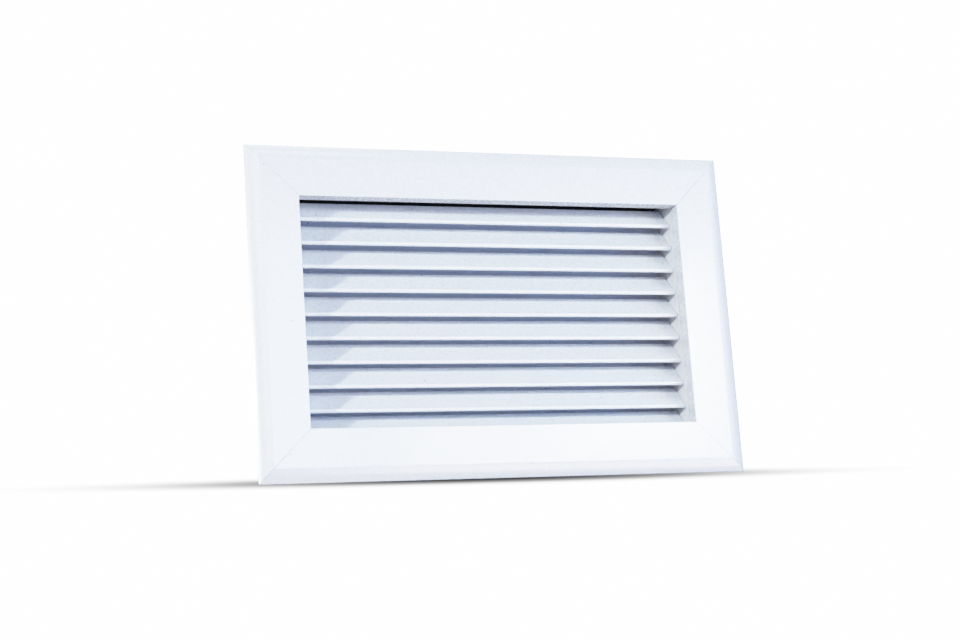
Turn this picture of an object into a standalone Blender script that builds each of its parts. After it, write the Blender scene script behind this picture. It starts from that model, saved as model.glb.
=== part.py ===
"""Louvred air grille for a 365 x 217 mm opening in a wall, door or duct: a white aluminium frame of four
mitred extrusions round a core of ten fixed inverted-V blades, held in the opening by four spring clips.

Units are metres and +Z is up. The origin is the centre of the grille in the plane of the wall it is fitted
to: the front face looks along -Y, and the neck goes into the wall along +Y.
"""

import math

import bmesh
import bpy
from mathutils import Matrix, Vector

MM = 0.001
GAP = 0.3 * MM  # between pieces that touch on the real object
WELD = 0.001 * MM  # points closer than this are one

# Frame: outer size, and the section that all four members share.
OVERALL_WIDTH = 427 * MM
OVERALL_HEIGHT = 279 * MM
FACE_HEIGHT = 5.6 * MM  # front face above the wall
BORDER = 43.5 * MM  # outer edge to the edge of the opening
BAND_WIDTH = 11.85 * MM  # curved band that falls from the flat face to the outer edge
BAND_TURN = math.radians(24)  # how far the band's slope turns from crease to edge
EDGE_THICKNESS = 0.6 * MM
FOOT_WIDTH = 2.2 * MM  # flat that rests on the wall
FOOT_STEP = 0.5 * MM  # underside of the band to the foot
WALL = 1.5 * MM
FACE_CORNER_RADIUS = 0.8 * MM  # where the face turns into the opening
RETURN_DEPTH = 13.3 * MM  # face to the end of the return inside the opening
NECK_INSET = 34 * MM  # outer edge to the outside of the neck
NECK_DEPTH = 52 * MM  # wall plane to the end of the neck
KEY_RIB_INSET = 20.5 * MM  # rib that, with the neck, holds the corner keys
KEY_RIB_THICKNESS = 1.2 * MM
KEY_RIB_TOE = 1.3 * MM
KEY_RIB_STANDOFF = 0.3 * MM  # rib end to the wall
KEY_THICKNESS = 2.5 * MM
KEY_ARM = 45 * MM

# Blades: inverted-V extrusions. Depth runs back from the front of the lip, height up from its underside.
BLADE_COUNT = 10
BLADE_PITCH = 20.1 * MM
BLADE_THICKNESS = 1.2 * MM
LIP_DEPTH = 17.5 * MM  # front face of the frame to the front of the lips
LIP_RADIUS = 1.9 * MM
RIDGE_DEPTH = 19.1 * MM
RIDGE_HEIGHT = 20.4 * MM  # of the sharp ridge that RIDGE_RADIUS rounds
RIDGE_RADIUS = 1.0 * MM
REAR_END_DEPTH = 37.4 * MM
SCREW_PORT_RADIUS = 3.0 * MM
SCREW_PORT_HOLE = 1.8 * MM
SCREW_PORT_DROP = 4.9 * MM  # ridge to the port's axis
LOWEST_LIP_CLEARANCE = 2.8 * MM  # lowest lip to the inside of the neck

# Core: two channels that carry the blade ends, screwed to the top and bottom of the neck.
CORE_JOINT = 0.8 * MM  # dark line between the frame's return and the channel
BLADE_END_SETBACK = 0.1 * MM  # blade ends inside the opening's sides
BLADE_END_GAP = 0.4 * MM  # blade ends to the channel
CHANNEL_WALL = 1.5 * MM
CHANNEL_WIDTH = 7.0 * MM
CHANNEL_REAR_SETBACK = 0.6 * MM
CORE_SCREW_DEPTH = 33 * MM
SCREW_CLEARANCE = 0.3 * MM

# Pan-head self-tapping screws and blind rivets.
SCREW_HEAD_RADIUS = 2.8 * MM
SCREW_HEAD_HEIGHT = 1.9 * MM
SCREW_SHANK_RADIUS = 1.45 * MM
SCREW_LENGTH = 9.5 * MM
RECESS_WIDTH = 0.9 * MM
RECESS_SPAN = 3.0 * MM
RECESS_DEPTH = 1.0 * MM
RIVET_HEAD_RADIUS = 3.1 * MM
RIVET_HEAD_HEIGHT = 1.0 * MM
RIVET_SHANK_RADIUS = 1.6 * MM
RIVET_TAIL_RADIUS = 2.3 * MM
RIVET_TAIL_HEIGHT = 2.2 * MM

# Foam strips behind the border.
GASKET_WIDTH = 8.0 * MM
GASKET_INSET = 12.2 * MM

# Spring clips: a leaf folded back over a riveted base, two on the top of the neck and two below it.
CLIP_OFFSET = 110 * MM  # centre of the grille to the middle of a clip
CLIP_WIDTH = 15 * MM
CLIP_THICKNESS = 0.5 * MM
CLIP_FOLD_DEPTH = 46 * MM
CLIP_FOLD_RADIUS = 1.15 * MM
CLIP_BASE_LENGTH = 18 * MM
CLIP_RIVET_DEPTH = 35 * MM
CLIP_LEAF_LENGTH = 32 * MM
CLIP_LEAF_ANGLE = math.radians(13)
CLIP_TOE_LENGTH = 3 * MM
CLIP_TOE_ANGLE = math.radians(35)
CLIP_SPLIT_ANGLE = math.radians(8)  # half the slit between base and leaf at the fold

# Worked out from the sizes above.
FACE_Y = -FACE_HEIGHT
RETURN_END_Y = FACE_Y + RETURN_DEPTH
OPENING_HALF_WIDTH = OVERALL_WIDTH / 2 - BORDER
NECK_HALF_WIDTH = OVERALL_WIDTH / 2 - NECK_INSET
NECK_HALF_HEIGHT = OVERALL_HEIGHT / 2 - NECK_INSET
BLADE_FRONT_Y = FACE_Y + LIP_DEPTH
BLADE_HALF_LENGTH = OPENING_HALF_WIDTH - BLADE_END_SETBACK
CHANNEL_FACE_X = BLADE_HALF_LENGTH + BLADE_END_GAP
CORE_SCREW_X = CHANNEL_FACE_X + CHANNEL_WIDTH / 2
LOWEST_LIP_Z = -NECK_HALF_HEIGHT + WALL + LOWEST_LIP_CLEARANCE


def clear_scene():
    for obj in list(bpy.data.objects):
        bpy.data.objects.remove(obj, do_unlink=True)


def new_collection(name):
    collection = bpy.data.collections.new(name)
    bpy.context.scene.collection.children.link(collection)
    return collection


def principled(name, color, roughness, metallic):
    material = bpy.data.materials.new(name)
    material.use_nodes = True
    shader = material.node_tree.nodes["Principled BSDF"]
    shader.inputs["Base Color"].default_value = (*color, 1.0)
    shader.inputs["Roughness"].default_value = roughness
    shader.inputs["Metallic"].default_value = metallic
    return material


def arc(centre, radius, start, end, steps):
    """Points on an arc from angle start to angle end, in degrees, both ends included."""
    angles = [math.radians(start + (end - start) * i / steps) for i in range(steps + 1)]
    return [(centre[0] + radius * math.cos(a), centre[1] + radius * math.sin(a)) for a in angles]


def extrusion(outlines, length, axes):
    """A mesh of a flat outline, with any holes after it, extruded both ways to length.

    The columns of axes say where the outline's first and second coordinates and its length go.
    """
    curve = bpy.data.curves.new("outline", "CURVE")
    curve.dimensions = "2D"
    curve.fill_mode = "BOTH"
    curve.extrude = length / 2
    for outline in outlines:
        spline = curve.splines.new("POLY")
        spline.points.add(len(outline) - 1)
        for point, (a, b) in zip(spline.points, outline):
            point.co = (a, b, 0, 1)
        spline.use_cyclic_u = True
    holder = bpy.data.objects.new("outline", curve)
    bpy.context.scene.collection.objects.link(holder)
    mesh = evaluated_mesh(holder)
    bpy.data.objects.remove(holder, do_unlink=True)
    edit = bmesh.new()
    edit.from_mesh(mesh)
    bmesh.ops.remove_doubles(edit, verts=edit.verts, dist=WELD)
    bmesh.ops.transform(edit, matrix=axes.to_4x4(), verts=edit.verts)
    bmesh.ops.recalc_face_normals(edit, faces=edit.faces)
    edit.to_mesh(mesh)
    edit.free()
    return mesh


def evaluated_mesh(obj):
    """The object's mesh with its modifiers applied."""
    bpy.context.view_layer.update()
    graph = bpy.context.evaluated_depsgraph_get()
    return bpy.data.meshes.new_from_object(obj.evaluated_get(graph))


def add_part(name, mesh, material, matrix=Matrix()):
    obj = bpy.data.objects.new(name, mesh)
    if not mesh.materials:
        mesh.materials.append(material)
    obj.matrix_world = matrix
    parts.objects.link(obj)
    return obj


def box_mesh(low, high):
    mesh = bpy.data.meshes.new("box")
    edit = bmesh.new()
    size = [b - a for a, b in zip(low, high)]
    middle = [(a + b) / 2 for a, b in zip(low, high)]
    bmesh.ops.create_cube(edit, size=1, matrix=Matrix.LocRotScale(middle, None, size))
    edit.to_mesh(mesh)
    edit.free()
    return mesh


def cylinder_mesh(places, radius, length, axis, segments=12):
    """Cylinders of one size along axis, one centred at each place."""
    mesh = bpy.data.meshes.new("cylinders")
    edit = bmesh.new()
    turn = Vector((0, 0, 1)).rotation_difference(Vector(axis)).to_matrix().to_4x4()
    for place in places:
        bmesh.ops.create_cone(
            edit, cap_ends=True, segments=segments, radius1=radius, radius2=radius, depth=length,
            matrix=Matrix.Translation(place) @ turn,
        )
    edit.to_mesh(mesh)
    edit.free()
    return mesh


def cut(obj, mesh):
    """Takes a mesh in world coordinates out of an object."""
    cutter = bpy.data.objects.new(obj.name + "_cutter", mesh)
    cutter.hide_render = True
    cutter.display_type = "WIRE"
    cutters.objects.link(cutter)
    boolean = obj.modifiers.new("cut", "BOOLEAN")
    boolean.operation = "DIFFERENCE"
    boolean.object = cutter


def turned_mesh(profile, steps=10):
    """A turned shape round Z, from a profile of (radius, height) that starts and ends on the axis."""
    mesh = bpy.data.meshes.new("turned")
    edges = [(i, i + 1) for i in range(len(profile) - 1)]
    mesh.from_pydata([(radius, 0, height) for radius, height in profile], edges, [])
    holder = bpy.data.objects.new("turned", mesh)
    bpy.context.scene.collection.objects.link(holder)
    screw = holder.modifiers.new("turn", "SCREW")
    screw.steps = steps
    screw.render_steps = steps
    screw.use_merge_vertices = True
    screw.merge_threshold = WELD
    turned = evaluated_mesh(holder)
    bpy.data.objects.remove(holder, do_unlink=True)
    turned.shade_smooth()
    turned.set_sharp_from_angle(angle=math.radians(40))
    return turned


# ---------------------------------------------------------------- frame


def band_arcs():
    """The curved band's outer and inner arcs, both from the edge to the crease, as (inset, y)."""
    edge = Vector((0, -EDGE_THICKNESS))
    crease = Vector((BAND_WIDTH, FACE_Y))
    chord = crease - edge
    radius = chord.length / (2 * math.sin(BAND_TURN / 2))
    inward = Vector((-chord.y, chord.x)).normalized()
    centre = (edge + crease) / 2 + inward * radius * math.cos(BAND_TURN / 2)
    start = math.degrees(math.atan2(edge.y - centre.y, edge.x - centre.x))
    end = start + math.degrees(BAND_TURN)
    outer = arc(centre, radius, start, end, 6)
    inner = arc(centre, radius - WALL, start, end, 6)
    return outer, inner


def member_section():
    """The frame's section as (inset from the outer edge, y)."""
    outer_band, inner_band = band_arcs()
    under = FACE_Y + WALL
    neck_inner = NECK_INSET + WALL
    rib_inner = KEY_RIB_INSET + KEY_RIB_THICKNESS
    toe_y = under + GAP + KEY_THICKNESS + GAP
    corner = arc(
        (BORDER - FACE_CORNER_RADIUS, FACE_Y + FACE_CORNER_RADIUS), FACE_CORNER_RADIUS, -90, 0, 4
    )
    channel = [
        (BORDER, RETURN_END_Y),
        (BORDER - WALL, RETURN_END_Y),
        (BORDER - WALL, under),
        (neck_inner, under),
        (neck_inner, NECK_DEPTH),
        (NECK_INSET, NECK_DEPTH),
        (NECK_INSET, under),
    ]
    rib = [
        (rib_inner, under),
        (rib_inner, toe_y),
        (rib_inner + KEY_RIB_TOE, toe_y),
        (rib_inner + KEY_RIB_TOE, -KEY_RIB_STANDOFF),
        (KEY_RIB_INSET, -KEY_RIB_STANDOFF),
        (KEY_RIB_INSET, under),
    ]
    underside = [point for point in reversed(inner_band) if point[0] > FOOT_WIDTH]
    foot = [(FOOT_WIDTH, underside[-1][1] + FOOT_STEP), (FOOT_WIDTH, 0), (0, 0)]
    return outer_band + corner + channel + rib + underside + foot


def frame_member(name, length, reach, turn):
    """One mitred member: made along X as the top one, moved out to reach, then turned about Y to its side."""
    axes = Matrix(((0, 0, 1), (0, 1, 0), (-1, 0, 0)))
    mesh = extrusion([member_section()], length, axes)
    for vertex in mesh.vertices:
        inset = -vertex.co.z
        half = length / 2 - inset - GAP / math.sqrt(2)
        vertex.co.x = math.copysign(half, vertex.co.x)
    mesh.transform(Matrix.Rotation(turn, 4, "Y") @ Matrix.Translation((0, 0, reach)))
    return add_part(name, mesh, paint)


def build_frame():
    half_width = OVERALL_WIDTH / 2
    half_height = OVERALL_HEIGHT / 2
    frame_member("frame_left", OVERALL_HEIGHT, half_width, -math.pi / 2)
    frame_member("frame_right", OVERALL_HEIGHT, half_width, math.pi / 2)
    for name, side, turn in (("frame_top", 1, 0), ("frame_bottom", -1, math.pi)):
        member = frame_member(name, OVERALL_WIDTH, half_height, turn)
        neck_z = side * (NECK_HALF_HEIGHT - WALL / 2)
        screws = [(x, CORE_SCREW_DEPTH, neck_z) for x in (-CORE_SCREW_X, CORE_SCREW_X)]
        rivets = [(x, CLIP_RIVET_DEPTH, neck_z) for x in (-CLIP_OFFSET, CLIP_OFFSET)]
        for places, radius in ((screws, SCREW_SHANK_RADIUS), (rivets, RIVET_SHANK_RADIUS)):
            holes = cylinder_mesh(places, radius + SCREW_CLEARANCE, 4 * WALL, (0, 0, 1))
            cut(member, holes)


def build_corner_keys():
    """L-shaped keys that lie in the channel between the rib and the neck, across each mitre."""
    inner_x = NECK_HALF_WIDTH + GAP
    inner_z = NECK_HALF_HEIGHT + GAP
    width = NECK_INSET - (KEY_RIB_INSET + KEY_RIB_THICKNESS) - 2 * GAP
    outer_x = inner_x + width
    outer_z = inner_z + width
    y = FACE_Y + WALL + GAP + KEY_THICKNESS / 2
    axes = Matrix(((1, 0, 0), (0, 0, -1), (0, 1, 0)))
    for vertical, z_side in (("top", 1), ("bottom", -1)):
        for horizontal, x_side in (("left", -1), ("right", 1)):
            outline = [
                (x_side * x, z_side * z)
                for x, z in (
                    (outer_x, outer_z),
                    (outer_x - KEY_ARM, outer_z),
                    (outer_x - KEY_ARM, inner_z),
                    (inner_x, inner_z),
                    (inner_x, outer_z - KEY_ARM),
                    (outer_x, outer_z - KEY_ARM),
                )
            ]
            mesh = extrusion([outline], KEY_THICKNESS, axes)
            mesh.transform(Matrix.Translation((0, y, 0)))
            add_part(f"corner_key_{vertical}_{horizontal}", mesh, bare_aluminium)


def build_gaskets():
    """Foam strips: the long pair runs the full width, and the short pair butts between them."""
    front = FACE_Y + WALL + GAP
    outer_x = OVERALL_WIDTH / 2 - GASKET_INSET
    outer_z = OVERALL_HEIGHT / 2 - GASKET_INSET
    inner_x = outer_x - GASKET_WIDTH
    inner_z = outer_z - GASKET_WIDTH
    side_z = inner_z - GAP
    add_part("gasket_top", box_mesh((-outer_x, front, inner_z), (outer_x, 0, outer_z)), foam)
    add_part("gasket_bottom", box_mesh((-outer_x, front, -outer_z), (outer_x, 0, -inner_z)), foam)
    add_part("gasket_left", box_mesh((-outer_x, front, -side_z), (-inner_x, 0, side_z)), foam)
    add_part("gasket_right", box_mesh((inner_x, front, -side_z), (outer_x, 0, side_z)), foam)


# ---------------------------------------------------------------- core


def lip_z(index):
    """Underside of a blade's lip. Blade 1 is the top one."""
    return LOWEST_LIP_Z + (BLADE_COUNT - index) * BLADE_PITCH


def crossing(centre, radius, offset, side):
    """Where the line height = depth + offset meets a circle: the far crossing for side 1."""
    middle = (centre[0] + centre[1] - offset) / 2
    away = abs(centre[0] - centre[1] + offset) / math.sqrt(2)
    depth = middle + side * math.sqrt(radius**2 - away**2) / math.sqrt(2)
    return depth, depth + offset


def degrees_from(centre, point):
    return math.degrees(math.atan2(point[1] - centre[1], point[0] - centre[0]))


def blade_section():
    """The blade's outline and its screw port's hole, as (depth, height).

    Both legs slope at 45 degrees, so the front leg's surfaces are height = depth + offset, and the rear
    leg's are the same lines mirrored about the ridge.
    """
    top = RIDGE_HEIGHT - RIDGE_DEPTH
    under = top - BLADE_THICKNESS * math.sqrt(2)
    lip = (LIP_RADIUS, LIP_RADIUS)
    port = (RIDGE_DEPTH, RIDGE_HEIGHT - SCREW_PORT_DROP)
    lip_top = crossing(lip, LIP_RADIUS, top, 1)
    lip_under = crossing(lip, LIP_RADIUS, under, 1)
    port_front = crossing(port, SCREW_PORT_RADIUS, under, -1)
    port_rear = (2 * RIDGE_DEPTH - port_front[0], port_front[1])
    ridge_centre = (RIDGE_DEPTH, RIDGE_HEIGHT - RIDGE_RADIUS * math.sqrt(2))
    end_top = (REAR_END_DEPTH, 2 * RIDGE_DEPTH - REAR_END_DEPTH + top)
    end_centre = (
        end_top[0] - BLADE_THICKNESS / 2 / math.sqrt(2),
        end_top[1] - BLADE_THICKNESS / 2 / math.sqrt(2),
    )
    port_start = degrees_from(port, port_rear)
    port_end = degrees_from(port, port_front)
    if port_end > port_start:
        port_end -= 360
    lip_start = degrees_from(lip, lip_under)
    lip_end = degrees_from(lip, lip_top) - 360
    outline = (
        [lip_top]
        + arc(ridge_centre, RIDGE_RADIUS, 135, 45, 4)
        + arc(end_centre, BLADE_THICKNESS / 2, 45, -135, 3)
        + arc(port, SCREW_PORT_RADIUS, port_start, port_end, 6)
        + arc(lip, LIP_RADIUS, lip_start, lip_end, 14)[:-1]
    )
    return outline, arc(port, SCREW_PORT_HOLE, 0, 360, 10)[:-1]


def build_blades():
    axes = Matrix(((0, 0, 1), (1, 0, 0), (0, 1, 0)))
    mesh = extrusion(blade_section(), 2 * BLADE_HALF_LENGTH, axes)
    for index in range(1, BLADE_COUNT + 1):
        place = Matrix.Translation((0, BLADE_FRONT_Y, lip_z(index)))
        add_part(f"blade_{index:02d}", mesh, blade_paint, place)


def port_place(index, x):
    return Vector((x, BLADE_FRONT_Y + RIDGE_DEPTH, lip_z(index) + RIDGE_HEIGHT - SCREW_PORT_DROP))


def build_core_channels():
    """Trays of folded sheet, open away from the blades, with a hole for every screw."""
    front = RETURN_END_Y + CORE_JOINT
    rear = NECK_DEPTH - CHANNEL_REAR_SETBACK
    top = NECK_HALF_HEIGHT - WALL - GAP
    hole = SCREW_SHANK_RADIUS + SCREW_CLEARANCE
    tab_z = top - CHANNEL_WALL / 2
    for name, side in (("left", -1), ("right", 1)):
        low_x, high_x = sorted((side * CHANNEL_FACE_X, side * (CHANNEL_FACE_X + CHANNEL_WIDTH)))
        solid = box_mesh((low_x, front, -top), (high_x, rear, top))
        channel = add_part(f"core_channel_{name}", solid, core_paint)
        web_x = side * (CHANNEL_FACE_X + CHANNEL_WALL)
        open_x = side * (CHANNEL_FACE_X + 2 * CHANNEL_WIDTH)
        inside_low = (min(web_x, open_x), front + CHANNEL_WALL, -top + CHANNEL_WALL)
        inside_high = (max(web_x, open_x), rear - CHANNEL_WALL, top - CHANNEL_WALL)
        cut(channel, box_mesh(inside_low, inside_high))
        web_middle = side * (CHANNEL_FACE_X + CHANNEL_WALL / 2)
        blade_holes = [port_place(index, web_middle) for index in range(1, BLADE_COUNT + 1)]
        tab_holes = [(side * CORE_SCREW_X, CORE_SCREW_DEPTH, z) for z in (-tab_z, tab_z)]
        cut(channel, cylinder_mesh(blade_holes, hole, 3 * CHANNEL_WALL, (1, 0, 0)))
        cut(channel, cylinder_mesh(tab_holes, hole, 3 * CHANNEL_WALL, (0, 0, 1)))


# ---------------------------------------------------------------- fasteners


def screw_mesh():
    """A pan-head screw along Z: its seat is at 0, the head above and the shank below.

    The fractions shape the head's crown and the length of the point.
    """
    profile = [
        (0, SCREW_HEAD_HEIGHT),
        (SCREW_HEAD_RADIUS * 0.62, SCREW_HEAD_HEIGHT),
        (SCREW_HEAD_RADIUS * 0.88, SCREW_HEAD_HEIGHT * 0.8),
        (SCREW_HEAD_RADIUS, SCREW_HEAD_HEIGHT * 0.45),
        (SCREW_HEAD_RADIUS, 0),
        (SCREW_SHANK_RADIUS, 0),
        (SCREW_SHANK_RADIUS, SCREW_SHANK_RADIUS * 1.4 - SCREW_LENGTH),
        (0, -SCREW_LENGTH),
    ]
    head = bpy.data.objects.new("screw", turned_mesh(profile))
    bpy.context.scene.collection.objects.link(head)
    floor = SCREW_HEAD_HEIGHT - RECESS_DEPTH
    for length, width in ((RECESS_SPAN, RECESS_WIDTH), (RECESS_WIDTH, RECESS_SPAN)):
        slot = box_mesh((-length / 2, -width / 2, floor), (length / 2, width / 2, 2 * SCREW_HEAD_HEIGHT))
        cut(head, slot)
    mesh = evaluated_mesh(head)
    for modifier in head.modifiers:
        bpy.data.objects.remove(modifier.object, do_unlink=True)
    bpy.data.objects.remove(head, do_unlink=True)
    return mesh


def rivet_mesh():
    """A set blind rivet along Z: its seat is at 0, the dome above and the swollen tail below.

    The fractions shape the dome and the tail.
    """
    tail_top = -(CLIP_THICKNESS + GAP + WALL + GAP) - GAP
    profile = [
        (0, RIVET_HEAD_HEIGHT),
        (RIVET_HEAD_RADIUS * 0.5, RIVET_HEAD_HEIGHT * 0.85),
        (RIVET_HEAD_RADIUS * 0.85, RIVET_HEAD_HEIGHT * 0.45),
        (RIVET_HEAD_RADIUS, 0),
        (RIVET_SHANK_RADIUS, 0),
        (RIVET_SHANK_RADIUS, tail_top),
        (RIVET_TAIL_RADIUS, tail_top),
        (RIVET_TAIL_RADIUS, tail_top - RIVET_TAIL_HEIGHT * 0.6),
        (0, tail_top - RIVET_TAIL_HEIGHT),
    ]
    return turned_mesh(profile)


def facing(place, direction):
    """A frame at place whose Z runs along direction."""
    turn = Vector((0, 0, 1)).rotation_difference(Vector(direction)).to_matrix().to_4x4()
    return Matrix.Translation(place) @ turn


def build_screws():
    mesh = screw_mesh()
    seat_x = CHANNEL_FACE_X + CHANNEL_WALL + GAP
    for index in range(1, BLADE_COUNT + 1):
        for name, side in (("left", -1), ("right", 1)):
            place = facing(port_place(index, side * seat_x), (side, 0, 0))
            add_part(f"blade_screw_{name}_{index:02d}", mesh, zinc, place)
    seat_z = NECK_HALF_HEIGHT + GAP
    for vertical, z_side in (("top", 1), ("bottom", -1)):
        for horizontal, x_side in (("left", -1), ("right", 1)):
            place = Vector((x_side * CORE_SCREW_X, CORE_SCREW_DEPTH, z_side * seat_z))
            add_part(f"core_screw_{vertical}_{horizontal}", mesh, zinc, facing(place, (0, 0, z_side)))


# ---------------------------------------------------------------- spring clips


def strip_mesh(profile, width, hole=None):
    """A strip of spring steel that follows a (y, z) profile, width along X, with a hole through its base."""
    mesh = bpy.data.meshes.new("strip")
    edit = bmesh.new()
    vertices = [edit.verts.new((-width / 2, y, z)) for y, z in profile]
    edges = [edit.edges.new(pair) for pair in zip(vertices, vertices[1:])]
    moved = bmesh.ops.extrude_edge_only(edit, edges=edges)["geom"]
    added = [item for item in moved if isinstance(item, bmesh.types.BMVert)]
    bmesh.ops.translate(edit, verts=added, vec=(width, 0, 0))
    edit.to_mesh(mesh)
    edit.free()
    holder = bpy.data.objects.new("strip", mesh)
    bpy.context.scene.collection.objects.link(holder)
    solidify = holder.modifiers.new("thickness", "SOLIDIFY")
    solidify.thickness = CLIP_THICKNESS
    solidify.offset = 0
    solidify.use_even_offset = True
    if hole:
        cut(holder, hole)
    strip = evaluated_mesh(holder)
    for modifier in holder.modifiers:
        if modifier.type == "BOOLEAN":
            bpy.data.objects.remove(modifier.object, do_unlink=True)
    bpy.data.objects.remove(holder, do_unlink=True)
    edit = bmesh.new()
    edit.from_mesh(strip)
    bmesh.ops.recalc_face_normals(edit, faces=edit.faces)
    edit.to_mesh(strip)
    edit.free()
    return strip


def clip_profiles():
    """The base's and the leaf's middle lines as (y, height off the neck), and the fold's centre."""
    base_height = GAP + CLIP_THICKNESS / 2
    fold = (CLIP_FOLD_DEPTH, base_height + CLIP_FOLD_RADIUS)
    split = math.degrees(CLIP_SPLIT_ANGLE)
    base = [(CLIP_FOLD_DEPTH - CLIP_BASE_LENGTH, base_height)]
    base += arc(fold, CLIP_FOLD_RADIUS, -90, -split, 4)
    leaf = arc(fold, CLIP_FOLD_RADIUS, split, 90 - math.degrees(CLIP_LEAF_ANGLE), 4)
    peak = (
        leaf[-1][0] - CLIP_LEAF_LENGTH * math.cos(CLIP_LEAF_ANGLE),
        leaf[-1][1] + CLIP_LEAF_LENGTH * math.sin(CLIP_LEAF_ANGLE),
    )
    toe = (
        peak[0] - CLIP_TOE_LENGTH * math.cos(CLIP_TOE_ANGLE),
        peak[1] - CLIP_TOE_LENGTH * math.sin(CLIP_TOE_ANGLE),
    )
    return base, leaf + [peak, toe], fold


def build_clips():
    """Each clip stands on the neck: its own Z points away from it, and its leaf opens towards the border."""
    base_profile, leaf_profile, fold = clip_profiles()
    hole_place = [(0, CLIP_RIVET_DEPTH, base_profile[0][1])]
    hole_radius = RIVET_SHANK_RADIUS + SCREW_CLEARANCE
    hole = cylinder_mesh(hole_place, hole_radius, 6 * CLIP_THICKNESS, (0, 0, 1))
    base = strip_mesh(base_profile, CLIP_WIDTH, hole)
    leaf = strip_mesh(leaf_profile, CLIP_WIDTH)
    axis = Matrix.Translation((0, *fold))
    leaf.transform(axis.inverted())
    rivet = rivet_mesh()
    rivet_seat = Matrix.Translation((0, CLIP_RIVET_DEPTH, GAP + CLIP_THICKNESS + GAP))
    for vertical, z_side, turn in (("top", 1, 0), ("bottom", -1, math.pi)):
        for horizontal, x_side in (("left", -1), ("right", 1)):
            where = f"{vertical}_{horizontal}"
            place = (x_side * CLIP_OFFSET, 0, z_side * NECK_HALF_HEIGHT)
            neck = Matrix.Translation(place) @ Matrix.Rotation(turn, 4, "Y")
            add_part(f"clip_base_{where}", base, spring_steel, neck)
            add_part(f"clip_rivet_{where}", rivet, zinc, neck @ rivet_seat)
            add_part(f"clip_leaf_{where}", leaf, spring_steel, neck @ axis)


clear_scene()
parts = new_collection("louvred_air_grille")
cutters = new_collection("cutters")
paint = principled("frame_powder_coat", (0.84, 0.86, 0.89), 0.38, 0.0)
blade_paint = principled("blade_powder_coat", (0.82, 0.84, 0.88), 0.38, 0.0)
core_paint = principled("core_powder_coat", (0.80, 0.82, 0.86), 0.42, 0.0)
bare_aluminium = principled("bare_aluminium", (0.70, 0.71, 0.73), 0.35, 1.0)
foam = principled("closed_cell_foam", (0.05, 0.05, 0.055), 0.9, 0.0)
zinc = principled("zinc_plate", (0.62, 0.64, 0.66), 0.32, 1.0)
spring_steel = principled("spring_steel", (0.42, 0.43, 0.45), 0.28, 1.0)

build_frame()
build_corner_keys()
build_gaskets()
build_blades()
build_core_channels()
build_screws()
build_clips()
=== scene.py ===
"""The louvred air grille in white powder coat, leaning back on a pale floor in soft studio light.

The four frame members and the ten blades are built again here with the rolled edges of real extrusions, and
stand for the CAD nodes. Everything else is the CAD part with its edges eased and its finish on.
"""

import math

import bmesh
import bpy
from mathutils import Matrix, Vector


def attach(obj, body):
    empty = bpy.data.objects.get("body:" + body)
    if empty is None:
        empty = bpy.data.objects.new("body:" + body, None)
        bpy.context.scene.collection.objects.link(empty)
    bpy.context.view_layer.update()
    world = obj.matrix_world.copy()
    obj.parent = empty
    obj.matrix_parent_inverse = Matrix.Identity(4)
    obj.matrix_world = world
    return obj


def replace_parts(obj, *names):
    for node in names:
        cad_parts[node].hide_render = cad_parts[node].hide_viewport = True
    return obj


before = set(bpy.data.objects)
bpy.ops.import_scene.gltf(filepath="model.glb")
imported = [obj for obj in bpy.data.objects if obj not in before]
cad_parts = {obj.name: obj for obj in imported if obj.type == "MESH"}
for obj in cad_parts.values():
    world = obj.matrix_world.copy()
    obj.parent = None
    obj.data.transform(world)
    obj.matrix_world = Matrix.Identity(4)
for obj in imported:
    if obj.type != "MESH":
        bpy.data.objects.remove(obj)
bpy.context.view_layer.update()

MM = 0.001
BODY = "grille"

# Frame section, as in the CAD part, but for a return 0.2 mm shorter, which opens the joint line beside it.
OVERALL_WIDTH = 427 * MM
OVERALL_HEIGHT = 279 * MM
FACE_HEIGHT = 5.6 * MM
BORDER = 43.5 * MM
BAND_WIDTH = 11.85 * MM
BAND_TURN = math.radians(24)
EDGE_THICKNESS = 0.6 * MM
FOOT_WIDTH = 2.2 * MM
FOOT_STEP = 0.5 * MM
WALL = 1.5 * MM
RETURN_DEPTH = 13.1 * MM
NECK_INSET = 34 * MM
NECK_DEPTH = 52 * MM
KEY_RIB_INSET = 20.5 * MM
KEY_RIB_THICKNESS = 1.2 * MM
KEY_RIB_TOE = 1.3 * MM
KEY_RIB_STANDOFF = 0.3 * MM
KEY_SLOT = 3.1 * MM
FACE_Y = -FACE_HEIGHT

# Edge radii of the extrusions, and the hairline joint where two members meet.
FACE_CORNER_RADIUS = 0.8 * MM
CREASE_RADIUS = 0.7 * MM
EDGE_RADIUS = 0.22 * MM
SMALL_RADIUS = 0.25 * MM
MITRE_HALF_GAP = 0.05 * MM
MITRE_EASE = 0.13 * MM
BAND_STEPS = 20
CORNER_STEPS = 4

# Blade section, as in the CAD part, and how finely its round stretches are divided.
BLADE_COUNT = 10
BLADE_PITCH = 20.1 * MM
BLADE_THICKNESS = 1.2 * MM
LIP_RADIUS = 1.9 * MM
LIP_DEPTH = 17.5 * MM
RIDGE_DEPTH = 19.1 * MM
RIDGE_HEIGHT = 20.4 * MM
RIDGE_RADIUS = 1.0 * MM
REAR_END_DEPTH = 37.4 * MM
SCREW_PORT_RADIUS = 3.0 * MM
SCREW_PORT_HOLE = 1.8 * MM
SCREW_PORT_DROP = 4.9 * MM
LOWEST_LIP_Z = -101.2 * MM
BLADE_HALF_LENGTH = 169.9 * MM
BLADE_END_EASE = 0.12 * MM
LIP_STEPS = 36
RIDGE_STEPS = 10
REAR_END_STEPS = 8
PORT_STEPS = 16
HOLE_STEPS = 20

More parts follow.
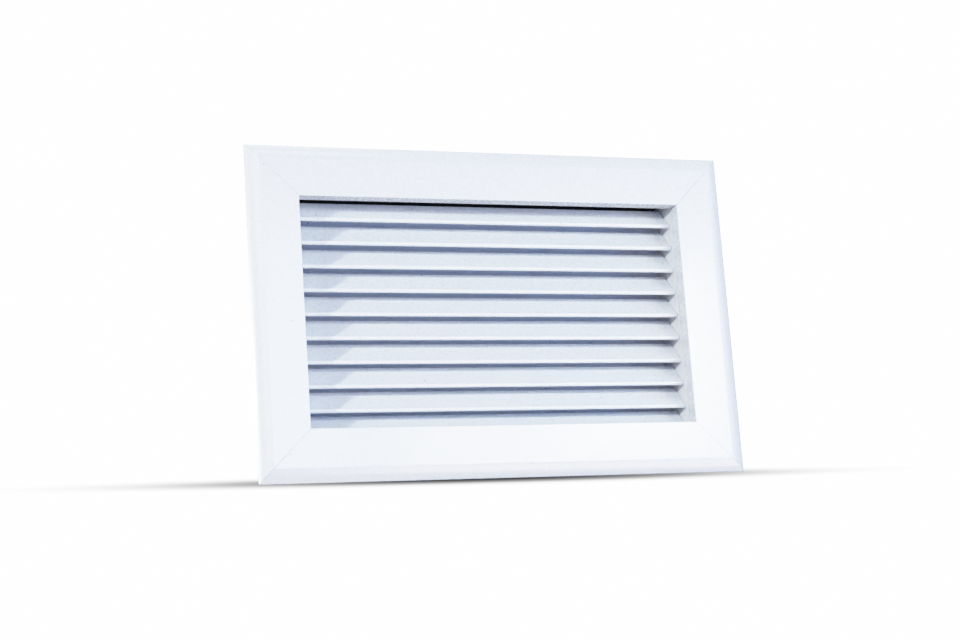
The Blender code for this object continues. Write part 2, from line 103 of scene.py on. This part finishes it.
# Shading: edges sharper than this stay crisp, and CAD edges sharper than EASED_ANGLE are eased.
CRISP_ANGLE = math.radians(40)
EASED_ANGLE = math.radians(50)
WELD_DISTANCE = 0.002 * MM

# Inside the neck, painted shade: black from just behind the ridges of the blades, standing for the deep shade
# there.
# A face within SAME_WALL of the neck's inner wall belongs to it.
PAINTED_SHADE_FROM = 33 * MM
SAME_WALL = 0.05 * MM

# The outermost edge, painted grey: painted shade on the edge.
SHADED_RIM = 0.4 * MM

# Finishes, in linear colours. Each coat clouds from its first colour to its second, and each metal has its
# second colour in lines and patches.
# The frame and the blades share one white coat. The frame's copy is painted darker, the blades' brighter and
# bluer: painted light on the recessed blades and painted blue in the shade of the gaps.
FRAME_COAT = ((0.80, 0.818, 0.84), (0.805, 0.817, 0.836))
BLADE_COAT = ((0.885, 0.91, 0.937), (0.89, 0.909, 0.932))
CORE_COAT = ((0.86, 0.875, 0.89), (0.865, 0.87, 0.885))
# Black painted shade for the inside of the neck, and for the rivets' tails there.
NECK_PAINTED_SHADE = ((0.012, 0.012, 0.016), (0.018, 0.017, 0.020))
RIM_PAINTED_SHADE = (0.60, 0.635, 0.69)
DUST = (0.30, 0.29, 0.30)
MILL = ((0.80, 0.80, 0.81), (0.60, 0.61, 0.63))
ZINC = ((0.72, 0.73, 0.76), (0.50, 0.51, 0.50))
STEEL = ((0.46, 0.47, 0.50), (0.27, 0.28, 0.31))
FOAM_PORE = (0.030, 0.030, 0.034)
FOAM_SKIN = (0.085, 0.085, 0.092)
FOAM_SCUFF = (0.06, 0.058, 0.056)

# Grain of the finishes: noise scales in cells per metre, by axis where there are three.
CLOUD_SCALE = 9
MARK_SCALE = 26
MARK_STRETCH = (1, 1, 0.45)
NIB_SCALE = 9
COAT_GRAIN_SCALE = 420
FINE_PEEL_SCALE = 900
COARSE_PEEL_SCALE = 260
PATCH_SCALE = 60
MILL_LINES = (60, 900, 60)
ZINC_LINES = (300, 300, 300)
STEEL_LINES = (1400, 70, 70)
PORE_SCALE = 1500
SCUFF_SCALE = 45

# Camera: its lens, and the turns and shift that bring the grille before it.
LENS = 70.41
SENSOR_WIDTH = 36
CLIP_START = 0.01
CLIP_END = 50
CAMERA_SHIFT = Vector((0.019031, 1.570601, 0.007434))
CAMERA_ROLL = math.radians(0.137)
CAMERA_TURN = math.radians(19.863)
CAMERA_TILT = math.radians(-12.065)

# Floor: it runs under the foot of the grille, which leans back on it. A painted shadow, a dark pool, lies
# round the foot.
FLOOR_LEAN = math.atan(0.2137)
FLOOR_SIZE = (2.2, 1.8)
FLOOR_GLOW = 2.2
SHADOW_POOL_MIDDLE = (-0.025, 0.001)
SHADOW_POOL_REACH = (0.43, 0.069)
SHADOW_POOL_TURN = math.radians(-2.5)
SHADOW_POOL_DARK = 0.015

# Behind the object: what the camera sees, and the little light that it gives.
BACKDROP = (2.2, 2.2, 2.2)
AMBIENT = (0.01, 0.01, 0.012)

# Tone curve: linear below the knee, and white at its top. Its points stand at these shares of the top.
CURVE_KNEE = 0.6
CURVE_TOP = 3.0
CURVE_POINTS = (0.1, 0.2, 0.25, 0.3, 0.35, 0.4, 0.5, 0.65, 0.8)

# Key light: small and far, low on the left. It draws the shadows on the blades.
KEY_PLACE = Vector((-2.117, -1.300, 0.337))
KEY_SIZE = 0.07
KEY_RADIANCE = (2000, 2130, 2160)

# Soft lights round the object: name, azimuth from the front towards +X, elevation, width, height, radiance.
# Those from low to below stand in for the floor's bounce.
LIGHT_DISTANCE = 1.9
SOFT_LIGHTS = (
    ("overhead", 0, 60, 0.9, 0.2, (4.6, 5.3, 6.9)),
    ("top", 0, 88, 0.9, 0.6, (2.0, 2.2, 2.3)),
    ("front", 0, 8, 0.8, 0.6, (4.3, 4.8, 5.0)),
    ("near_left", -27, 12, 0.5, 0.6, (3.4, 3.2, 3.0)),
    ("far_left", -86, 8, 0.8, 0.8, (3.6, 3.6, 3.8)),
    ("near_right", 25, 5, 0.7, 0.6, (6.6, 7.0, 6.7)),
    ("glare", 28, 8, 0.24, 0.3, (15.0, 15.0, 16.0)),
    ("right", 55, 12, 0.8, 0.8, (2.2, 2.5, 3.6)),
    ("low", 0, -12, 1.0, 0.4, (0.1, 0.3, 2.8)),
    ("low_right", 45, -12, 1.0, 0.4, (0.8, 2.8, 6.0)),
    ("below_right", 30, -31, 1.0, 0.6, (4.8, 4.1, 3.5)),
    ("below", 0, -60, 1.0, 0.6, (2.6, 2.4, 2.2)),
    ("behind_left", -120, 20, 0.9, 0.7, (1.6, 1.6, 1.8)),
    ("behind_right", 110, 25, 0.9, 0.7, (2.4, 2.4, 2.6)),
    ("behind_top", 180, 78, 1.0, 0.5, (7.5, 7.7, 8.1)),
)

# These lights aren't mirrored in the coat. From the side, they would burn out the neck's top.
UNMIRRORED_LIGHTS = ("far_left", "behind_left")


# ---------------------------------------------------------------- meshes


def arc(centre, radius, start, end, steps):
    """Points on an arc from angle start to angle end, in degrees, both ends included."""
    angles = [math.radians(start + (end - start) * i / steps) for i in range(steps + 1)]
    return [(centre[0] + radius * math.cos(a), centre[1] + radius * math.sin(a)) for a in angles]


def rounded(corners):
    """A closed outline from (point, radius) pairs: each corner with a radius becomes an arc.

    A corner that hardly turns stays a point, and so does one whose arc would take up half a side.
    """
    straight = math.radians(0.6)
    half_side = 0.49
    outline = []
    count = len(corners)
    for i, (point, radius) in enumerate(corners):
        here = Vector(point)
        before = Vector(corners[i - 1][0]) - here
        after = Vector(corners[(i + 1) % count][0]) - here
        turn = math.pi - before.angle(after)
        reach = radius * math.tan(turn / 2)
        if radius == 0 or turn < straight or reach > half_side * min(before.length, after.length):
            outline.append((here.x, here.y))
            continue
        before.normalize()
        after.normalize()
        middle = here + (before + after).normalized() * radius / math.cos(turn / 2)
        first = here + before * reach - middle
        last = here + after * reach - middle
        sweep = first.angle_signed(last)
        for k in range(CORNER_STEPS + 1):
            spoke = first.copy()
            spoke.rotate(Matrix.Rotation(-sweep * k / CORNER_STEPS, 2))
            outline.append(tuple(middle + spoke))
    return outline


def signed_area(outline):
    """Twice the outline's area, positive when it runs anticlockwise."""
    pairs = zip([outline[-1], *outline[:-1]], outline)
    return sum(a[0] * b[1] - b[0] * a[1] for a, b in pairs)


def eased(outline, amount):
    """The outline moved inwards by amount."""
    least_spread = 0.5
    side = 1 if signed_area(outline) > 0 else -1
    moved = []
    for i, here in enumerate(outline):
        before = (Vector(here) - Vector(outline[i - 1])).normalized()
        after = (Vector(outline[(i + 1) % len(outline)]) - Vector(here)).normalized()
        along = before + after
        normal = Vector((-along.y, along.x)).normalized() * side
        spread = max(normal.dot(Vector((-after.y, after.x)) * side), least_spread)
        moved.append(tuple(Vector(here) + normal * amount / spread))
    return moved


def bar_mesh(name, sections, place):
    """A solid bar through a list of sections, each a list of outlines of the same lengths: outer, then holes.

    place(section number, point) gives each point's position.
    """
    edit = bmesh.new()
    rings = [
        [[edit.verts.new(place(s, point)) for point in outline] for outline in section]
        for s, section in enumerate(sections)
    ]
    for front, back in zip(rings, rings[1:]):
        for a, b in zip(front, back):
            for i in range(len(a)):
                edit.faces.new((a[i - 1], a[i], b[i], b[i - 1]))
    for ring in (rings[0], rings[-1]):
        edges = [edit.edges.get((loop[i - 1], loop[i])) for loop in ring for i in range(len(loop))]
        bmesh.ops.triangle_fill(edit, edges=edges, use_beauty=True, use_dissolve=False)
    bmesh.ops.recalc_face_normals(edit, faces=edit.faces)
    mesh = bpy.data.meshes.new(name)
    edit.to_mesh(mesh)
    edit.free()
    return mesh


def add_piece(name, mesh, material):
    """An object with smooth rolled edges and flat faces."""
    mesh.shade_smooth()
    mesh.set_sharp_from_angle(angle=CRISP_ANGLE)
    mesh.materials.append(material)
    piece = bpy.data.objects.new(name, mesh)
    bpy.context.scene.collection.objects.link(piece)
    normals = piece.modifiers.new("normals", "WEIGHTED_NORMAL")
    normals.keep_sharp = True
    normals.weight = 100
    return piece


# ---------------------------------------------------------------- frame


def band_arcs():
    """The curved outer band, from the outer edge to the crease: its outside and its inside."""
    edge = Vector((0, -EDGE_THICKNESS))
    crease = Vector((BAND_WIDTH, FACE_Y))
    chord = crease - edge
    radius = chord.length / (2 * math.sin(BAND_TURN / 2))
    inward = Vector((-chord.y, chord.x)).normalized()
    centre = (edge + crease) / 2 + inward * radius * math.cos(BAND_TURN / 2)
    start = math.degrees(math.atan2(edge.y - centre.y, edge.x - centre.x))
    end = start + math.degrees(BAND_TURN)
    outside = arc(centre, radius, start, end, BAND_STEPS)
    inside = arc(centre, radius - WALL, start, end, BAND_STEPS)
    return outside, [point for point in inside if point[0] > FOOT_WIDTH]


def member_outline():
    """The frame's section as (inset from the outer edge, y), with its edges rolled."""
    band, under_band = band_arcs()
    return_end = FACE_Y + RETURN_DEPTH
    under = FACE_Y + WALL
    neck_inner = NECK_INSET + WALL
    rib_inner = KEY_RIB_INSET + KEY_RIB_THICKNESS
    toe_y = under + KEY_SLOT
    corners = [(band[0], EDGE_RADIUS)]
    corners += [(point, 0) for point in band[1:-1]]
    corners += [
        (band[-1], CREASE_RADIUS),
        ((BORDER, FACE_Y), FACE_CORNER_RADIUS),
        ((BORDER, return_end), SMALL_RADIUS),
        ((BORDER - WALL, return_end), SMALL_RADIUS),
        ((BORDER - WALL, under), SMALL_RADIUS),
        ((neck_inner, under), SMALL_RADIUS),
        ((neck_inner, PAINTED_SHADE_FROM), 0),
        ((neck_inner, NECK_DEPTH), SMALL_RADIUS),
        ((NECK_INSET, NECK_DEPTH), SMALL_RADIUS),
        ((NECK_INSET, under), SMALL_RADIUS),
        ((rib_inner, under), SMALL_RADIUS),
        ((rib_inner, toe_y), SMALL_RADIUS),
        ((rib_inner + KEY_RIB_TOE, toe_y), SMALL_RADIUS),
        ((rib_inner + KEY_RIB_TOE, -KEY_RIB_STANDOFF), SMALL_RADIUS),
        ((KEY_RIB_INSET, -KEY_RIB_STANDOFF), SMALL_RADIUS),
        ((KEY_RIB_INSET, under), SMALL_RADIUS),
    ]
    corners += [(point, 0) for point in reversed(under_band)]
    corners += [
        ((FOOT_WIDTH, under_band[0][1] + FOOT_STEP), 0),
        ((FOOT_WIDTH, 0), SMALL_RADIUS),
        ((0, 0), EDGE_RADIUS),
    ]
    return rounded(corners)


def paint_neck_shade(piece, to_member, neck_shade_material):
    """Gives the second material, black painted shade, to the faces inside the neck, behind the ridges of the
    blades.
    """
    piece.data.materials.append(neck_shade_material)
    for face in piece.data.polygons:
        middle = to_member @ face.center
        on_neck_wall = abs(middle.z + NECK_INSET + WALL) < SAME_WALL
        face.material_index = int(on_neck_wall and middle.y > PAINTED_SHADE_FROM)


def build_member(name, length, reach, turn, material, neck_shade_material):
    """One mitred member, reach from the middle of the grille and turned into its place."""
    outline = member_outline()
    end_outline = eased(outline, MITRE_EASE)
    matrix = Matrix.Rotation(turn, 4, "Y") @ Matrix.Translation((0, 0, reach))

    def place(section, point):
        joint = MITRE_HALF_GAP * math.sqrt(2) + (MITRE_EASE if section in (1, 2) else 0)
        half = length / 2 - point[0] - joint
        return matrix @ Vector((half if section < 2 else -half, point[1], -point[0]))

    mesh = bar_mesh(name, [[end_outline], [outline], [outline], [end_outline]], place)
    piece = add_piece(f"frame_{name}_extrusion", mesh, material)
    paint_neck_shade(piece, matrix.inverted(), neck_shade_material)
    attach(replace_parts(piece, f"frame_{name}"), BODY)


def build_frame(material, neck_shade_material):
    half_width, half_height, quarter = OVERALL_WIDTH / 2, OVERALL_HEIGHT / 2, math.pi / 2
    build_member("top", OVERALL_WIDTH, half_height, 0, material, neck_shade_material)
    build_member("right", OVERALL_HEIGHT, half_width, quarter, material, neck_shade_material)
    build_member("bottom", OVERALL_WIDTH, half_height, 2 * quarter, material, neck_shade_material)
    build_member("left", OVERALL_HEIGHT, half_width, -quarter, material, neck_shade_material)


# ---------------------------------------------------------------- blades


def crossing(centre, radius, offset, side):
    """Where the line height = depth + offset meets a circle: the far crossing for side 1, the near for -1."""
    middle = (centre[0] + centre[1] - offset) / 2
    away = abs(centre[0] - centre[1] + offset) / math.sqrt(2)
    depth = middle + side * math.sqrt(radius**2 - away**2) / math.sqrt(2)
    return depth, depth + offset


def degrees_from(centre, point):
    """The direction from centre to point."""
    return math.degrees(math.atan2(point[1] - centre[1], point[0] - centre[0]))


def blade_outlines():
    """The blade's outline and its screw port's hole, as (depth, height).

    Both slopes stand at 45 degrees. The round lip and the port run into them where their circles cross them.
    """
    top = RIDGE_HEIGHT - RIDGE_DEPTH
    under = top - BLADE_THICKNESS * math.sqrt(2)
    lip = (LIP_RADIUS, LIP_RADIUS)
    port = (RIDGE_DEPTH, RIDGE_HEIGHT - SCREW_PORT_DROP)
    lip_top = crossing(lip, LIP_RADIUS, top, 1)
    lip_under = crossing(lip, LIP_RADIUS, under, 1)
    port_front = crossing(port, SCREW_PORT_RADIUS, under, -1)
    port_rear = (2 * RIDGE_DEPTH - port_front[0], port_front[1])
    ridge_centre = (RIDGE_DEPTH, RIDGE_HEIGHT - RIDGE_RADIUS * math.sqrt(2))
    end_top = (REAR_END_DEPTH, 2 * RIDGE_DEPTH - REAR_END_DEPTH + top)
    half_wall = BLADE_THICKNESS / 2 / math.sqrt(2)
    end_centre = (end_top[0] - half_wall, end_top[1] - half_wall)
    port_start = degrees_from(port, port_rear)
    port_end = degrees_from(port, port_front)
    if port_end > port_start:
        port_end -= 360
    lip_start = degrees_from(lip, lip_under)
    lip_end = degrees_from(lip, lip_top) - 360
    outline = (
        [lip_top]
        + arc(ridge_centre, RIDGE_RADIUS, 135, 45, RIDGE_STEPS)
        + arc(end_centre, BLADE_THICKNESS / 2, 45, -135, REAR_END_STEPS)
        + arc(port, SCREW_PORT_RADIUS, port_start, port_end, PORT_STEPS)
        + arc(lip, LIP_RADIUS, lip_start, lip_end, LIP_STEPS)[:-1]
    )
    return outline, arc(port, SCREW_PORT_HOLE, 0, 360, HOLE_STEPS)[:-1]


def build_blade(index, material):
    """Blade number index, counted from the top."""
    outline, hole = blade_outlines()
    full = [outline, hole]
    end = [eased(outline, BLADE_END_EASE), hole]
    inner = BLADE_HALF_LENGTH - BLADE_END_EASE
    stops = (BLADE_HALF_LENGTH, inner, -inner, -BLADE_HALF_LENGTH)
    front = FACE_Y + LIP_DEPTH
    lift = LOWEST_LIP_Z + (BLADE_COUNT - index) * BLADE_PITCH

    def place(section, point):
        return Vector((stops[section], front + point[0], lift + point[1]))

    mesh = bar_mesh(f"blade_{index:02d}", [end, full, full, end], place)
    piece = add_piece(f"blade_{index:02d}_extrusion", mesh, material)
    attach(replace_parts(piece, f"blade_{index:02d}"), BODY)


def build_blades(material):
    for index in range(1, BLADE_COUNT + 1):
        build_blade(index, material)


# ---------------------------------------------------------------- materials


class Shader:
    """A material with a Principled shader and short ways to add the nodes that drive it."""

    def __init__(self, name, roughness, metallic=0.0, specular=0.5):
        self.material = bpy.data.materials.new(name)
        self.material.use_nodes = True
        self.nodes = self.material.node_tree.nodes
        self.links = self.material.node_tree.links
        self.surface = self.nodes["Principled BSDF"]
        self.surface.inputs["Roughness"].default_value = roughness
        self.surface.inputs["Metallic"].default_value = metallic
        self.surface.inputs["Specular IOR Level"].default_value = specular
        self.place = self.nodes.new("ShaderNodeTexCoord").outputs["Object"]

    def mapped(self, socket, value):
        """The place, scaled or turned."""
        mapping = self.nodes.new("ShaderNodeMapping")
        mapping.inputs[socket].default_value = value
        self.links.new(self.place, mapping.inputs["Vector"])
        return mapping.outputs["Vector"]

    def noise(self, scale, detail, vector=None, roughness=0.5):
        noise = self.nodes.new("ShaderNodeTexNoise")
        noise.inputs["Scale"].default_value = scale
        noise.inputs["Detail"].default_value = detail
        noise.inputs["Roughness"].default_value = roughness
        self.links.new(vector or self.place, noise.inputs["Vector"])
        return noise.outputs["Fac"]

    def cells(self, scale, dimensions="3D", vector=None):
        """The distance to the nearest of many scattered points."""
        cells = self.nodes.new("ShaderNodeTexVoronoi")
        cells.voronoi_dimensions = dimensions
        cells.inputs["Scale"].default_value = scale
        self.links.new(vector or self.place, cells.inputs["Vector"])
        return cells.outputs["Distance"]

    def ramp(self, factor, low, high, at_low, at_high):
        """Turns factor's range low to high into at_low to at_high."""
        node = self.nodes.new("ShaderNodeMapRange")
        node.interpolation_type = "SMOOTHSTEP"
        for socket, value in zip(node.inputs[1:5], (low, high, at_low, at_high)):
            socket.default_value = value
        self.links.new(factor, node.inputs[0])
        return node.outputs[0]

    def math(self, operation, a, b):
        node = self.nodes.new("ShaderNodeMath")
        node.operation = operation
        for socket, value in zip(node.inputs, (a, b)):
            if isinstance(value, (int, float)):
                socket.default_value = value
            else:
                self.links.new(value, socket)
        return node.outputs[0]

    def mixed(self, factor, a, b):
        """Colour a, or a socket that carries one, turning into colour b as factor goes from 0 to 1."""
        node = self.nodes.new("ShaderNodeMix")
        node.data_type = "RGBA"
        self.links.new(factor, node.inputs[0])
        for socket, value in ((node.inputs[6], a), (node.inputs[7], b)):
            if isinstance(value, tuple):
                socket.default_value = (*value, 1)
            else:
                self.links.new(value, socket)
        return node.outputs[2]

    def distances(self):
        """How far a point lies from the object's middle along x, y and z."""
        absolute = self.nodes.new("ShaderNodeVectorMath")
        absolute.operation = "ABSOLUTE"
        split = self.nodes.new("ShaderNodeSeparateXYZ")
        self.links.new(self.place, absolute.inputs[0])
        self.links.new(absolute.outputs[0], split.inputs[0])
        return split.outputs

    def color(self, socket):
        self.links.new(socket, self.surface.inputs["Base Color"])

    def tint(self, mask, color):
        """Lays a colour over the base colour where mask is 1."""
        under = self.surface.inputs["Base Color"].links[0].from_socket
        self.color(self.mixed(mask, under, color))

    def roughness(self, socket):
        self.links.new(socket, self.surface.inputs["Roughness"])

    def bump(self, height, strength, distance):
        node = self.nodes.new("ShaderNodeBump")
        node.inputs["Strength"].default_value = strength
        node.inputs["Distance"].default_value = distance
        self.links.new(height, node.inputs["Height"])
        self.links.new(node.outputs["Normal"], self.surface.inputs["Normal"])


def powder_coat(name, colors, roughness):
    """Satin powder coat: fine orange peel, faint clouding, handling marks and a few nibs of dust."""
    base, cloud = colors
    worn = tuple(value * 0.93 for value in base)
    shader = Shader(name, roughness)
    shader.surface.inputs["Coat Weight"].default_value = 0.35
    shader.surface.inputs["Coat Roughness"].default_value = 0.1
    clouds = shader.ramp(shader.noise(CLOUD_SCALE, 2), 0.35, 0.65, 0, 1)
    streaks = shader.noise(MARK_SCALE, 5, shader.mapped("Scale", MARK_STRETCH), 0.62)
    marks = shader.ramp(streaks, 0.66, 0.76, 0, 0.35)
    color = shader.mixed(marks, shader.mixed(clouds, base, cloud), worn)
    upright = shader.mapped("Rotation", (math.pi / 2, 0, 0))
    nibs = shader.ramp(shader.cells(NIB_SCALE, "2D", upright), 0.003, 0.007, 0.8, 0)
    shader.color(shader.mixed(nibs, color, DUST))
    grain = shader.ramp(shader.noise(COAT_GRAIN_SCALE, 2), 0.3, 0.7, roughness - 0.05, roughness + 0.05)
    shader.roughness(shader.math("ADD", grain, shader.math("MULTIPLY", marks, 0.35)))
    coarse = shader.math("MULTIPLY", shader.noise(COARSE_PEEL_SCALE, 1), 0.8)
    shader.bump(shader.math("ADD", shader.noise(FINE_PEEL_SCALE, 1), coarse), 0.05, 0.02 * MM)
    return shader


def metal(name, colors, roughness, line_scale, bump=0.15):
    """Bare or plated metal with fine lines, and a few duller patches."""
    bright, dull = colors
    shader = Shader(name, roughness, metallic=1.0)
    lines = shader.noise(1, 4, shader.mapped("Scale", line_scale), 0.6)
    patches = shader.ramp(shader.noise(PATCH_SCALE, 3), 0.42, 0.68, 0, 1)
    lined = shader.mixed(shader.ramp(lines, 0.35, 0.7, 0, 0.6), bright, dull)
    shader.color(shader.mixed(shader.math("MULTIPLY", patches, 0.35), lined, dull))
    rough = shader.ramp(lines, 0.3, 0.7, roughness - 0.07, roughness + 0.1)
    shader.roughness(shader.math("ADD", rough, shader.math("MULTIPLY", patches, 0.1)))
    shader.bump(lines, bump, 0.03 * MM)
    return shader


def closed_cell_foam():
    """Small dark pores in a charcoal skin, scuffed in places."""
    shader = Shader("closed_cell_foam", 0.92, specular=0.25)
    pores = shader.ramp(shader.cells(PORE_SCALE), 0.2, 0.7, 0, 1)
    scuffs = shader.ramp(shader.noise(SCUFF_SCALE, 3), 0.4, 0.7, 0, 0.5)
    shader.color(shader.mixed(scuffs, shader.mixed(pores, FOAM_PORE, FOAM_SKIN), FOAM_SCUFF))
    shader.roughness(shader.ramp(pores, 0, 1, 0.97, 0.85))
    shader.bump(pores, 0.5, 0.12 * MM)
    return shader


def frame_coat():
    """The frame's white, with painted shade that makes the outermost edge greyer."""
    shader = powder_coat("white_powder_coat", FRAME_COAT, 0.27)
    x, _, z = shader.distances()
    beyond_x = shader.math("GREATER_THAN", x, OVERALL_WIDTH / 2 - SHADED_RIM)
    beyond_z = shader.math("GREATER_THAN", z, OVERALL_HEIGHT / 2 - SHADED_RIM)
    shader.tint(shader.math("MAXIMUM", beyond_x, beyond_z), RIM_PAINTED_SHADE)
    return shader


def rivet_zinc_and_shade():
    """Zinc outside the neck's top and bottom walls. Inside, the rivets' tails get the neck's black painted
    shade.
    """
    shader = metal("zinc_rivet_painted_shade", ZINC, 0.30, ZINC_LINES)
    wall_middle = OVERALL_HEIGHT / 2 - NECK_INSET - WALL / 2
    shader.tint(shader.math("LESS_THAN", shader.distances()[2], wall_middle), NECK_PAINTED_SHADE[0])
    return shader


def finish_cad_nodes(finishes):
    """Each CAD node that still shows gets its material, and its edges eased.

    finishes holds a shader and the width of the ease for the start of a name. The first that fits counts.
    """
    for name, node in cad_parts.items():
        if node.hide_render:
            continue
        start = next(start for start in finishes if name.startswith(start))
        shader, ease = finishes[start]
        node.data.materials.clear()
        node.data.materials.append(shader.material)
        weld = node.modifiers.new("weld", "WELD")
        weld.merge_threshold = WELD_DISTANCE
        bevel = node.modifiers.new("ease", "BEVEL")
        bevel.width = ease
        bevel.segments = 2
        bevel.limit_method = "ANGLE"
        bevel.angle_limit = EASED_ANGLE
        bevel.harden_normals = True
        bevel.use_clamp_overlap = True


# ---------------------------------------------------------------- studio


def make_camera():
    data = bpy.data.cameras.new("camera")
    data.lens = LENS
    data.sensor_width = SENSOR_WIDTH
    data.clip_start = CLIP_START
    data.clip_end = CLIP_END
    camera = bpy.data.objects.new("camera", data)
    bpy.context.scene.collection.objects.link(camera)
    bpy.context.scene.camera = camera
    to_camera = (
        Matrix.Translation(CAMERA_SHIFT)
        @ Matrix.Rotation(CAMERA_ROLL, 4, "Y")
        @ Matrix.Rotation(CAMERA_TURN, 4, "Z")
        @ Matrix.Rotation(CAMERA_TILT, 4, "X")
        @ Matrix.Translation((0, FACE_HEIGHT, 0))
    )
    camera.matrix_world = to_camera.inverted() @ Matrix.Rotation(math.pi / 2, 4, "X")


def floor_material():
    """White, with a painted shadow that darkens towards the middle of the pool. From below it is clear."""
    material = bpy.data.materials.new("floor_white")
    material.use_nodes = True
    nodes, links = material.node_tree.nodes, material.node_tree.links
    nodes.clear()
    place = nodes.new("ShaderNodeTexCoord")
    pool = nodes.new("ShaderNodeMapping")
    pool.vector_type = "TEXTURE"
    middle = [offset / size for offset, size in zip(SHADOW_POOL_MIDDLE, FLOOR_SIZE)]
    reach = [radius / size for radius, size in zip(SHADOW_POOL_REACH, FLOOR_SIZE)]
    pool.inputs["Location"].default_value = (*middle, 0)
    pool.inputs["Rotation"].default_value = (0, 0, SHADOW_POOL_TURN)
    pool.inputs["Scale"].default_value = (*reach, 1)
    ring = nodes.new("ShaderNodeVectorMath")
    ring.operation = "DOT_PRODUCT"
    shade = nodes.new("ShaderNodeMapRange")
    shade.inputs["To Min"].default_value = SHADOW_POOL_DARK * FLOOR_GLOW
    shade.inputs["To Max"].default_value = FLOOR_GLOW
    glow = nodes.new("ShaderNodeEmission")
    clear = nodes.new("ShaderNodeBsdfTransparent")
    side = nodes.new("ShaderNodeNewGeometry")
    mix = nodes.new("ShaderNodeMixShader")
    output = nodes.new("ShaderNodeOutputMaterial")
    links.new(place.outputs["Object"], pool.inputs["Vector"])
    links.new(pool.outputs["Vector"], ring.inputs[0])
    links.new(pool.outputs["Vector"], ring.inputs[1])
    links.new(ring.outputs["Value"], shade.inputs["Value"])
    links.new(shade.outputs["Result"], glow.inputs["Strength"])
    links.new(side.outputs["Backfacing"], mix.inputs[0])
    links.new(glow.outputs[0], mix.inputs[1])
    links.new(clear.outputs[0], mix.inputs[2])
    links.new(mix.outputs[0], output.inputs["Surface"])
    return material


def make_floor():
    """A floor that the camera sees, but that lights nothing, shows in no gloss and casts no shadow."""
    mesh = bpy.data.meshes.new("floor")
    edit = bmesh.new()
    bmesh.ops.create_grid(edit, x_segments=1, y_segments=1, size=0.5)
    edit.to_mesh(mesh)
    edit.free()
    mesh.materials.append(floor_material())
    floor = bpy.data.objects.new("floor", mesh)
    bpy.context.scene.collection.objects.link(floor)
    floor.location = (0, 0, -OVERALL_HEIGHT / 2)
    floor.rotation_euler = (FLOOR_LEAN, 0, 0)
    floor.scale = (*FLOOR_SIZE, 1)
    floor.visible_diffuse = False
    floor.visible_glossy = False
    floor.visible_shadow = False


def make_world():
    """One colour behind the object, and another that lights it."""
    world = bpy.data.worlds.new("studio")
    bpy.context.scene.world = world
    world.use_nodes = True
    nodes, links = world.node_tree.nodes, world.node_tree.links
    nodes.clear()
    output = nodes.new("ShaderNodeOutputWorld")
    mix = nodes.new("ShaderNodeMixShader")
    path = nodes.new("ShaderNodeLightPath")
    ambient = nodes.new("ShaderNodeBackground")
    backdrop = nodes.new("ShaderNodeBackground")
    ambient.inputs["Color"].default_value = (*AMBIENT, 1)
    backdrop.inputs["Color"].default_value = (*BACKDROP, 1)
    links.new(path.outputs["Is Camera Ray"], mix.inputs["Fac"])
    links.new(ambient.outputs[0], mix.inputs[1])
    links.new(backdrop.outputs[0], mix.inputs[2])
    links.new(mix.outputs[0], output.inputs["Surface"])


def area_light(name, place, width, height, radiance):
    """A rectangular light that faces the object. radiance is how bright its face is, whatever its size."""
    strength = max(radiance)
    data = bpy.data.lights.new(name, "AREA")
    data.shape = "RECTANGLE"
    data.size = width
    data.size_y = height
    data.energy = strength * math.pi * width * height
    data.color = [value / strength for value in radiance]
    light = bpy.data.objects.new(name, data)
    bpy.context.scene.collection.objects.link(light)
    light.location = place
    light.rotation_mode = "QUATERNION"
    light.rotation_quaternion = (-light.location).to_track_quat("-Z", "Y")
    light.visible_camera = False
    light.visible_glossy = name not in UNMIRRORED_LIGHTS


def make_lights():
    area_light("key", KEY_PLACE, KEY_SIZE, KEY_SIZE, KEY_RADIANCE)
    for name, azimuth, elevation, width, height, radiance in SOFT_LIGHTS:
        across, up = math.radians(azimuth), math.radians(elevation)
        level = Vector((math.sin(across), -math.cos(across), 0)) * math.cos(up)
        direction = level + Vector((0, 0, math.sin(up)))
        area_light(name, direction * LIGHT_DISTANCE, width, height, radiance)


def shoulder(level):
    """What the tone curve makes of a light level."""
    room = 1 - CURVE_KNEE
    over = max(level - CURVE_KNEE, 0)
    return min(level, CURVE_KNEE) + room * (1 - math.exp(-over / room))


def tone_curve():
    """Linear up to the knee, then a soft shoulder that only reaches white at the curve's top."""
    settings = bpy.context.scene.view_settings
    settings.view_transform = "Standard"
    settings.use_curve_mapping = True
    mapping = settings.curve_mapping
    mapping.white_level = (CURVE_TOP, CURVE_TOP, CURVE_TOP)
    points = mapping.curves[3].points
    points[1].location = (1, shoulder(CURVE_TOP))
    for share in CURVE_POINTS:
        points.new(share, shoulder(share * CURVE_TOP))
    mapping.update()


# ---------------------------------------------------------------- the scene

# The blades' coat is painted brighter and bluer than the frame's: painted light and painted blue shade in the
# gaps.
blade_white = powder_coat("blade_powder_coat", BLADE_COAT, 0.3)
core_white = powder_coat("core_powder_coat", CORE_COAT, 0.4)
# Black painted shade for the inside of the neck.
neck_painted_shade = powder_coat("neck_painted_shade_coat", NECK_PAINTED_SHADE, 0.7)
mill = metal("mill_aluminium", MILL, 0.36, MILL_LINES)
zinc = metal("zinc_plate", ZINC, 0.30, ZINC_LINES)
steel = metal("spring_steel", STEEL, 0.26, STEEL_LINES, bump=0.1)

build_frame(frame_coat().material, neck_painted_shade.material)
build_blades(blade_white.material)
finish_cad_nodes(
    {
        "core_channel": (core_white, 0.25 * MM),
        "corner_key": (mill, 0.3 * MM),
        "gasket": (closed_cell_foam(), 0.5 * MM),
        "blade_screw": (zinc, 0.08 * MM),
        "core_screw": (zinc, 0.08 * MM),
        "clip_rivet": (rivet_zinc_and_shade(), 0.08 * MM),
        "clip": (steel, 0.06 * MM),
    }
)

make_camera()
make_floor()
make_world()
make_lights()
tone_curve()
